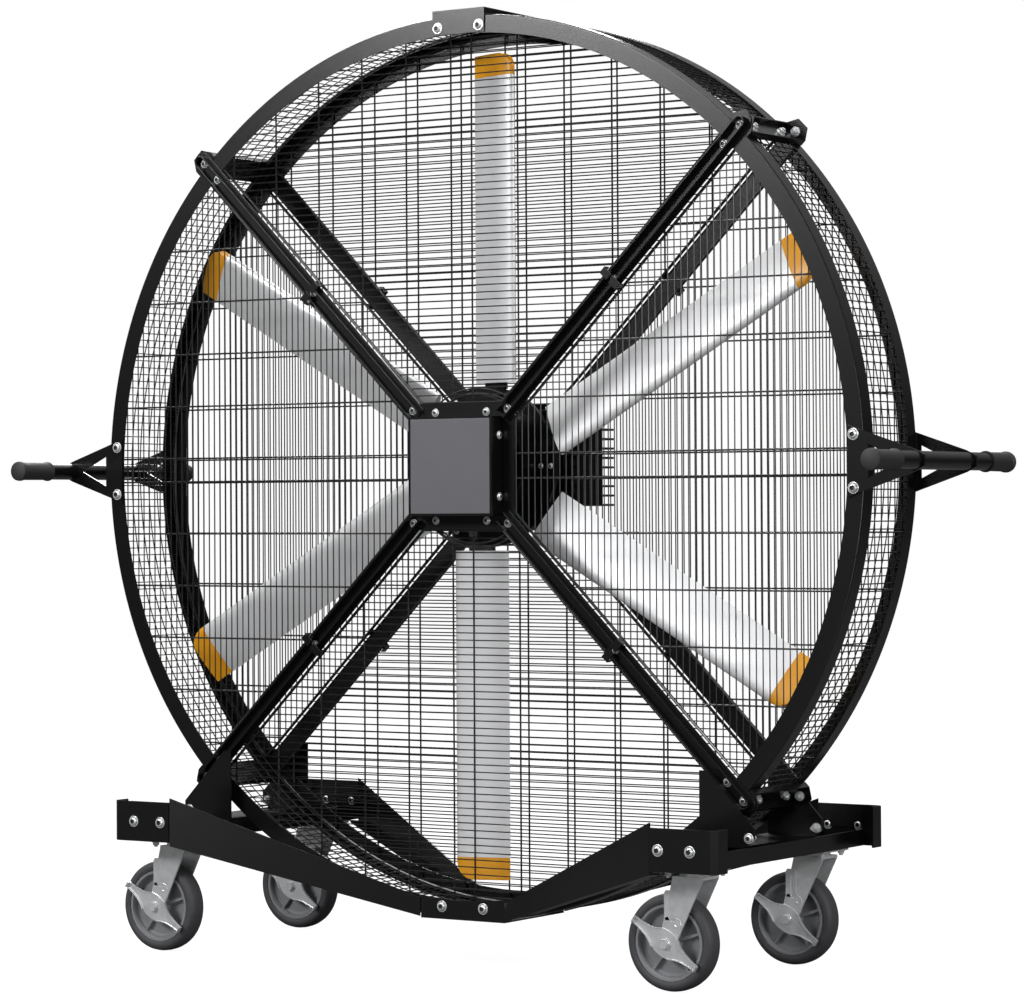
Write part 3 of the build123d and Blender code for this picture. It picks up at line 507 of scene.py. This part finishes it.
for end, y in (("front", -CASTER_Y), ("rear", CASTER_Y)):
    for hand, x in (("left", -CASTER_X), ("right", CASTER_X)):
        name = f"caster_{end}_{hand}"
        wheel_x = x - TRAIL
        bm = bmesh.new()
        half = [(0.0803, 0.022), (0.0835, 0.0235), (0.0900, 0.0240), (0.0955, 0.0220), (0.0993, 0.0170),
                (0.1010, 0.0100), (WHEEL, 0.0)]
        profile = [(r, y - w) for r, w in half] + [(r, y + w) for r, w in reversed(half[:-1])]
        spin_profile(bm, profile, (wheel_x, WHEEL), 96)
        finish_piece(name + "_tread", bm, tyre_grey, name + "_wheel", [name + "_tyre"])
        bm = bmesh.new()
        half = [(0.0067, 0.029), (0.0180, 0.029), (0.0200, 0.0275), (0.0205, 0.010), (0.0240, 0.0055),
                (0.0640, 0.0055), (0.0690, 0.0090), (0.0715, 0.0190), (0.0740, 0.0218), (0.0790, 0.0220),
                (0.0802, 0.0205)]
        profile = [(r, y - w) for r, w in half] + [(r, y + w) for r, w in reversed(half)]
        spin_profile(bm, profile, (wheel_x, WHEEL), 72)
        for rib in range(RIBS):
            turn = pi / 2 + 2 * pi * rib / RIBS
            along = Vector((cos(turn), 0, sin(turn)))
            across = Vector((-sin(turn), 0, cos(turn)))
            place = Matrix((along, across, Vector((0, 1, 0)))).transposed().to_4x4()
            place.translation = Vector((wheel_x, y, WHEEL))
            flat_plate(bm, place, [(0.019, -0.004), (0.071, -0.003), (0.071, 0.003), (0.019, 0.004)], -0.015, 0.015)
        finish_piece(name + "_ribbed_rim", bm, rim_grey, name + "_wheel", [name + "_rim"])
        ease_edges(recoat(name + "_fork", zinc), 0.0012)

        bm = bmesh.new()
        place = Matrix(((1, 0, 0, wheel_x), (0, 0, -1, y - LEG_FACE), (0, 1, 0, WHEEL), (0, 0, 0, 1)))
        strap = [(-0.003, 0.048), (0.010, 0.048), (0.010, 0.095), (0.0125, 0.098), (0.015, 0.095), (0.015, 0.050),
                 (0.023, 0.050), (0.023, 0.104), (0.019, 0.110), (0.001, 0.110), (-0.003, 0.104)]
        flat_plate(bm, place, strap, 0, LINK_STEEL)
        hook = [(-0.001, 0.008), (0.012, -0.004), (0.030, 0.012), (0.038, 0.038), (0.034, 0.050), (0.024, 0.054),
                (0.018, 0.047), (0.011, 0.047), (0.006, 0.056), (-0.001, 0.054)]
        flat_plate(bm, place, hook, 0, LINK_STEEL)
        rivet = [(0.0, 0.0026), (0.002, 0.0024), (0.0035, 0.0014), (0.004, 0.0)]
        spot = place @ Matrix.Translation((0.024, 0.036, 0))
        rows = [[bm.verts.new(spot @ Vector((r * cos(pi * k / 8), r * sin(pi * k / 8), h))) for k in range(16)]
                for r, h in rivet]
        for inner, outer in zip(rows, rows[1:]):
            for k in range(16):
                bm.faces.new((inner[k], inner[(k + 1) % 16], outer[(k + 1) % 16], outer[k]))
        finish_piece(name + "_brake_link", bm, zinc, name + "_swivel", bevel=0.0003)

        bm = bmesh.new()
        lever = place @ Matrix.Translation((0, 0, 0.001)) @ Matrix.Rotation(LEVER_TILT, 4, "Z")
        half = [(0.088, 0.0065), (0.068, 0.0080), (0.048, 0.0115), (0.034, 0.0170), (0.023, 0.0240),
                (0.008, 0.0270)]
        body = [(x, z) for x, z in half] + [(-x, z) for x, z in reversed(half)]
        body += [(-x, -z) for x, z in half] + [(x, -z) for x, z in reversed(half)]
        flat_plate(bm, lever, body, 0, LEVER_STEEL)
        for hand_x in (-1, 1):
            for hand_z in (-1, 1):
                rim = [(hand_x * x, hand_z * z) for x, z in half[:5]]
                inside = [(hand_x * (x - 0.0010), hand_z * (z - 0.0020)) for x, z in half[:5]]
                flat_plate(bm, lever, rim + inside[::-1], 0.0024, 0.0065 if hand_x == hand_z else 0.0045)
            tab = [(hand_x * reach, up) for reach, up in
                   ((0.0858, -0.0065), (0.0880, -0.0065), (0.0880, 0.0065), (0.0858, 0.0065))]
            flat_plate(bm, lever, tab, 0.0024, 0.0105)
        pressing = finish_piece(name + "_lever_pressing", bm, zinc, name + "_brake", [name + "_brake_lever"],
                                bevel=0.0005)

        bm = bmesh.new()
        top = Matrix.Translation((x, y, PLATE_BASE)) @ Matrix.Rotation(pi, 4, "X")
        for bolt_x in (-0.039, 0.039):
            for bolt_y in (-0.045, 0.045):
                spot = top @ Matrix.Translation((bolt_x, bolt_y, 0))
                washer = [(0.0095 * cos(pi * k / 10), 0.0095 * sin(pi * k / 10)) for k in range(20)]
                flat_plate(bm, spot, washer, 0, 0.0016)
                head = [(0.0080 * cos(pi * k / 3), 0.0080 * sin(pi * k / 3)) for k in range(6)]
                flat_plate(bm, spot, head, 0.0016, 0.0075)
                flat_plate(bm, spot, [(0.45 * across, 0.45 * up) for across, up in washer], 0.0075, 0.0115)
        finish_piece(name + "_plate_bolts", bm, zinc, bevel=0.0004)
recoat("caster_plates", zinc)

# ---------------------------------------------------------------------------
# Bolts: zinc-plated button heads with a hexagon socket on a pressed washer.
# Dark steel that paints shade: painted shade in the groove round a head and in the hexagon socket in its middle.
painted_shade_steel = mottled_material("painted_shade_socket_steel", "#2a2a2c", "#3c3c3f", 500.0, Metallic=0.6, Roughness=0.5)
HUB_FACE = 0.118
ROTOR_FACE = 0.012
BEAM_FACE = 0.370
BEAM_STEEL = 0.004
BEAM_BOLT_Z = 0.300
SADDLE_FACE = 0.150
SADDLE_BOLT_Z = 0.311
RING_BOLT = 0.966  # distance of the strap and handle bolts from the axis
COVER_HALF = 0.1086


def button_bolt(bm, place, width=0.0125):
    """Washer and button head on local z 0; the groove and the socket use the second material, a dark one that
    paints their shade.
    """
    rings = [(1.0, 0.0), (1.0, 0.10), (0.95, 0.15), (0.80, 0.15), (0.76, 0.10), (0.72, 0.16), (0.70, 0.30),
             (0.62, 0.44), (0.50, 0.52), (0.43, 0.52), (0.38, 0.30)]
    turns = [pi * i / 12 for i in range(24)]
    rows = [[bm.verts.new(place @ (width * Vector((radius * cos(a), radius * sin(a), height)))) for a in turns]
            for radius, height in rings]
    for low, high in zip(rows, rows[1:]):
        for i in range(24):
            face = bm.faces.new((low[i], low[(i + 1) % 24], high[(i + 1) % 24], high[i]))
            # painted shade: the groove and socket faces take the dark second material
            face.material_index = 1 if high in (rows[4], rows[5], rows[-1]) else 0
    bm.faces.new(rows[-1]).material_index = 1
    bm.faces.new(reversed(rows[0]))


def hex_nut(bm, place, width=0.0085, thread=0.006):
    """Washer, hexagon nut and the end of its bolt on local z 0."""
    washer = [(1.25 * width * cos(pi * k / 10), 1.25 * width * sin(pi * k / 10)) for k in range(20)]
    flat_plate(bm, place, washer, 0, 0.0018)
    flat_plate(bm, place, [(width * cos(pi * k / 3), width * sin(pi * k / 3)) for k in range(6)], 0.0018, 0.0088)
    flat_plate(bm, place, [(x * 0.42, y * 0.42) for x, y in washer], 0.0088, 0.0088 + thread)


bm = bmesh.new()
for side in (-1, 1):
    for z in (-RING_BOLT, RING_BOLT):
        for x in (-0.054, 0.054):
            place = face_place(0, side, RING_DEPTH + STEEL)
            button_bolt(bm, place @ Matrix.Translation((x, -side * z, 0)))
    for x in (-RING_BOLT, RING_BOLT):
        for z in (-0.055, 0.055):
            place = face_place(0, side, RING_DEPTH + 0.004)
            button_bolt(bm, place @ Matrix.Translation((x, -side * z, 0)))
    for turn in (45, 135, 225, 315):
        place = face_place(turn, side, RING_DEPTH + STEEL)
        for radius in (0.997, 0.943, 0.176):
            button_bolt(bm, place @ Matrix.Translation((radius, 0, 0)), 0.0098)
        button_bolt(bm, place @ Matrix.Translation((CLIP_RADIUS, 0, 0)), 0.0085)
        hex_nut(bm, face_place(turn, side, RING_DEPTH - STEEL) @ Matrix.Translation((1.004, 0, 0))
                @ Matrix.Rotation(pi, 4, "X"))
        outward = face_place(turn, side, 0.060) @ Matrix.Rotation(pi / 2, 4, "Y")
        hex_nut(bm, outward @ Matrix.Translation((0, 0, 0.9938)), thread=0.004)
    for x in (-0.719, -0.644, 0.644, 0.719):
        place = face_place(0, side, BEAM_FACE) @ Matrix.Translation((x, -side * (BEAM_BOLT_Z - HUB), 0))
        button_bolt(bm, place)
        button_bolt(bm, place @ Matrix.Translation((0, 0, -BEAM_STEEL)) @ Matrix.Rotation(pi, 4, "X"), 0.0115)
    for x in (-0.733, 0.733):
        place = face_place(0, side, SADDLE_FACE) @ Matrix.Translation((x, -side * (SADDLE_BOLT_Z - HUB), 0))
        button_bolt(bm, place, 0.0110)
        hex_nut(bm, place @ Matrix.Translation((0, 0, -0.004)) @ Matrix.Rotation(pi, 4, "X"), thread=0.012)
for turn in (0, 90, 180, 270):
    wall = face_place(turn, -1, 0.1308) @ Matrix.Rotation(pi / 2, 4, "Y") @ Matrix.Translation((0, 0, COVER_HALF))
    flange = face_place(turn, -1, HUB_FACE) @ Matrix.Translation((0.1188, 0, 0))
    for along in (-0.067, 0.067):
        button_bolt(bm, (flange if turn % 180 else wall) @ Matrix.Translation((0, along, 0)), 0.0090)
finish_piece("button_head_bolts", bm, [zinc, painted_shade_steel])
for end, y in (("front", -CASTER_Y), ("rear", CASTER_Y)):
    for hand, x in (("left", -CASTER_X), ("right", CASTER_X)):
        bm = bmesh.new()
        lever_face = y - LEG_FACE - LEVER_STEEL - 0.0011
        place = Matrix(((1, 0, 0, x - TRAIL), (0, 0, -1, lever_face), (0, 1, 0, WHEEL), (0, 0, 0, 1)))
        button_bolt(bm, place, 0.0115)
        name = f"caster_{end}_{hand}"
        finish_piece(name + "_axle_bolt", bm, [zinc, painted_shade_steel], name + "_swivel")
bm = bmesh.new()
for turn in range(0, 360, 360 // BLADES):
    for radius in (0.140, 0.166):
        button_bolt(bm, face_place(turn, -1, ROTOR_FACE) @ Matrix.Translation((radius, 0, 0)), 0.0062)
finish_piece("rotor_disc_bolts", bm, [zinc, painted_shade_steel], "rotor")

# ---------------------------------------------------------------------------
# Studio: a pale floor under a white surround, soft boxes over the front left, at
# the right, overhead, behind and low in front, and the photograph's camera.
bm = bmesh.new()
for x, y in ((-30, -30), (30, -30), (30, 30), (-30, 30)):
    bm.verts.new((x, y, 0))
bm.faces.new(bm.verts)
mesh = bpy.data.meshes.new("studio_floor")
bm.to_mesh(mesh)
bm.free()
floor = bpy.data.objects.new("studio_floor", mesh)
bpy.context.scene.collection.objects.link(floor)
paper = bpy.data.materials.new("matt_paper_floor")
paper.use_nodes = True
tree = paper.node_tree
tree.nodes.clear()
rays = add_node(tree, "ShaderNodeLightPath")
sight = add_node(tree, "ShaderNodeMath", {0: rays.outputs["Is Camera Ray"], 1: 0.95}, operation="MULTIPLY")
flat = add_node(tree, "ShaderNodeBsdfDiffuse", {"Color": linear("#5c5c5c")})
glow = add_node(tree, "ShaderNodeEmission", {"Color": linear("#ffffff"), "Strength": sight.outputs[0]})
both = add_node(tree, "ShaderNodeAddShader", {0: flat.outputs[0], 1: glow.outputs[0]})
add_node(tree, "ShaderNodeOutputMaterial", {"Surface": both.outputs[0]})
mesh.materials.append(paper)

scene = bpy.context.scene
world = bpy.data.worlds.new("soft_sky")
scene.world = world
world.use_nodes = True
tree = world.node_tree
tree.nodes.clear()
rays = add_node(tree, "ShaderNodeLightPath")
way = add_node(tree, "ShaderNodeTexCoord").outputs["Generated"]
parts = add_node(tree, "ShaderNodeSeparateXYZ", {"Vector": way})
height = add_node(tree, "ShaderNodeMapRange", {"Value": parts.outputs["Z"], "From Min": 0.1, "From Max": 0.8,
                                               "To Min": 0.05, "To Max": 0.55})
level = add_node(tree, "ShaderNodeMath", {0: rays.outputs["Is Camera Ray"], 1: height.outputs["Result"]},
                 operation="MAXIMUM")
sky = add_node(tree, "ShaderNodeBackground", {"Color": linear("#ffffff"), "Strength": level.outputs[0]})
add_node(tree, "ShaderNodeOutputWorld", {"Surface": sky.outputs[0]})


def soft_box(name, place, target, size, power):
    """A broad rectangular lamp aimed at a point."""
    lamp = bpy.data.lights.new(name, "AREA")
    lamp.shape = "RECTANGLE"
    lamp.size, lamp.size_y = size
    lamp.energy = power
    holder = bpy.data.objects.new(name, lamp)
    holder.location = place
    holder.rotation_euler = (Vector(target) - Vector(place)).to_track_quat("-Z", "Y").to_euler()
    scene.collection.objects.link(holder)


soft_box("upper_left_box", (-3.3, -6.4, 4.1), (0, 0, 1.3), (2.4, 1.4), 330)
soft_box("right_box", (6.5, -2.6, 2.6), (0, 0, 1.0), (3.0, 3.0), 240)
soft_box("overhead_box", (0.0, -1.0, 5.2), (0, 0, 0.5), (4.0, 3.0), 230)
soft_box("back_box", (-1.0, 4.5, 6.5), (0, 0, 1.0), (5.0, 2.0), 60)
soft_box("rear_box", (-4.5, 6.0, 5.0), (0, 0, 1.0), (3.0, 2.0), 260)
soft_box("low_front_box", (0.2, -7.4, 1.0), (0, 0, 0.5), (1.0, 1.0), 40)

AZIMUTH, ELEVATION, DISTANCE, ROLL = radians(33.756), radians(-0.767), 7.8235, radians(-0.288)
aim = Vector((0, -RING_DEPTH, HUB))
away = Vector((sin(AZIMUTH) * cos(ELEVATION), -cos(AZIMUTH) * cos(ELEVATION), sin(ELEVATION)))
camera = bpy.data.cameras.new("camera")
camera.lens = 125.4
camera.sensor_width = 36
camera.sensor_fit = "HORIZONTAL"
camera.shift_x = (512 - 461.0) / 1024
camera.shift_y = (466.4 - 500) / 1024
camera.clip_end = 200
eye = bpy.data.objects.new("camera", camera)
turn = (-away).to_track_quat("-Z", "Y").to_matrix() @ Matrix.Rotation(ROLL, 3, "Z")
eye.matrix_world = Matrix.Translation(aim + away * DISTANCE) @ turn.to_4x4()
scene.collection.objects.link(eye)
scene.camera = eye

scene.view_settings.view_transform = "Standard"
